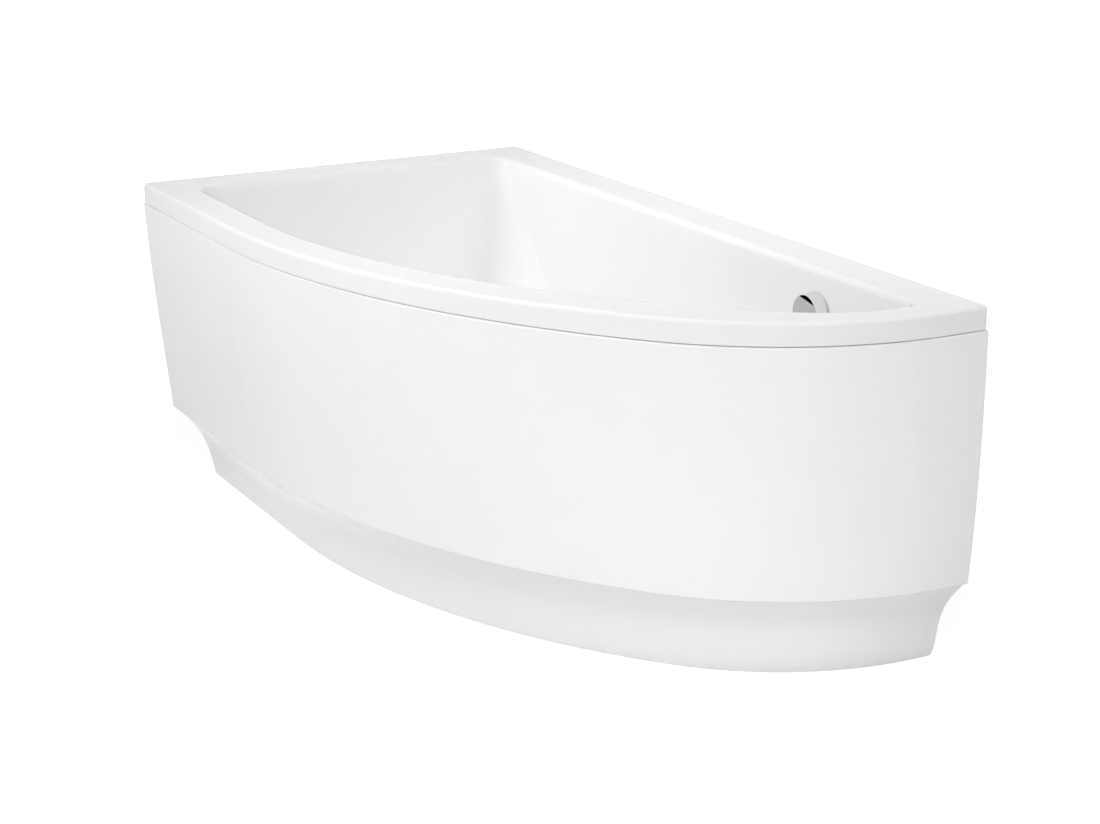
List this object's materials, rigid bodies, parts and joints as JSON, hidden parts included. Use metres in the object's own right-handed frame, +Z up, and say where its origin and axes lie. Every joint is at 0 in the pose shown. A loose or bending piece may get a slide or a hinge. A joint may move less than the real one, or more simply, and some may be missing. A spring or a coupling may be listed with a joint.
{
  "type": "corner bathtub",
  "caption": "Asymmetric corner bath: an acrylic shell on a steel cradle with levelling feet, a moulded front panel, an overflow knob, a pop-up plug and a trap.",
  "frame": {"origin": "on the floor, in the middle of the bath's 1500 by 800 mm rectangle", "axes": "+X along the long wall towards the narrow end, +Y towards the long wall, +Z up; the short wall is at -X and the curved front faces -Y"},
  "size_m": [1.5, 0.8, 0.6],
  "materials": {
    "acrylic_shell": "high gloss white cast acrylic",
    "acrylic_panel": "high gloss white acrylic",
    "board": "raw chipboard",
    "zinc_steel": "zinc plated",
    "spring_steel": "bare spring steel",
    "black_plastic": "moulded",
    "grey_plastic": "moulded",
    "white_plastic": "satin moulded",
    "chrome": "bright plated",
    "stainless": "polished stainless",
    "brass": "turned",
    "rubber": "matt"
  },
  "bodies": {
    "bath": {"tub_shell": "acrylic_shell", "front_panel": "acrylic_panel", "base_board": "board", "rim_batten": "board", "cradle_bar_left": "zinc_steel", "cradle_bar_right": "zinc_steel", "cradle_screws": "zinc_steel", "foot_nuts": "zinc_steel", "wall_hangers": "zinc_steel", "panel_clip_screws": "zinc_steel", "panel_top_clips": "spring_steel", "panel_floor_clips": "spring_steel", "bar_end_caps": "black_plastic", "waste_flange": "stainless", "lever_pin": "brass", "overflow_rosette": "grey_plastic", "overflow_seal": "rubber", "telescope_seal": "rubber", "waste_seal": "rubber", "trap_union_seal": "rubber", "trap_cup_seal": "rubber", "trap_outlet_seal": "rubber", "overflow_body": "white_plastic", "overflow_pipe_upper": "white_plastic", "overflow_pipe_lower": "white_plastic", "telescope_nut": "white_plastic", "overflow_elbow": "white_plastic", "elbow_nut": "white_plastic", "waste_body": "white_plastic", "trap_union_nut": "white_plastic", "trap_head": "white_plastic", "trap_cup": "white_plastic", "trap_outlet_nut": "white_plastic", "trap_outlet_pipe": "white_plastic"},
    "knob": {"overflow_knob": "chrome", "knob_spindle": "brass", "cable_wheel": "grey_plastic"},
    "lever": {"lift_lever": "grey_plastic"},
    "plug": {"plug": "chrome", "plug_seal": "rubber"},
    "foot_front_left": {"foot_rod_front_left": "zinc_steel", "foot_pad_front_left": "black_plastic"},
    "foot_back_left": {"foot_rod_back_left": "zinc_steel", "foot_pad_back_left": "black_plastic"},
    "foot_front_right": {"foot_rod_front_right": "zinc_steel", "foot_pad_front_right": "black_plastic"},
    "foot_back_right": {"foot_rod_back_right": "zinc_steel", "foot_pad_back_right": "black_plastic"}
  },
  "joints": [
    {"name": "knob_turn", "type": "hinge", "parent": "bath", "child": "knob", "pos_m": [0.44, 0.3, 0.528], "axis": [0, 1, 0], "range_deg": [0, 90]},
    {"name": "lever_swing", "type": "hinge", "parent": "bath", "child": "lever", "pos_m": [0.44, 0.09908, 0.133], "axis": [1, 0, 0], "range_deg": [0, 49]},
    {"name": "plug_lift", "type": "slide", "parent": "bath", "child": "plug", "axis": [0, 0, 1], "range_m": [0, 0.01]},
    {"name": "foot_screw_front_left", "type": "slide", "parent": "bath", "child": "foot_front_left", "axis": [0, 0, -1], "range_m": [-0.015, 0.02]},
    {"name": "foot_screw_back_left", "type": "slide", "parent": "bath", "child": "foot_back_left", "axis": [0, 0, -1], "range_m": [-0.015, 0.02]},
    {"name": "foot_screw_front_right", "type": "slide", "parent": "bath", "child": "foot_front_right", "axis": [0, 0, -1], "range_m": [-0.015, 0.02]},
    {"name": "foot_screw_back_right", "type": "slide", "parent": "bath", "child": "foot_back_right", "axis": [0, 0, -1], "range_m": [-0.015, 0.02]}
  ],
  "couplings": [
    {"joint": "lever_swing", "follows": "knob_turn", "ratio": 0.5444},
    {"joint": "plug_lift", "follows": "knob_turn", "m_per_rad": 0.006366}
  ]
}
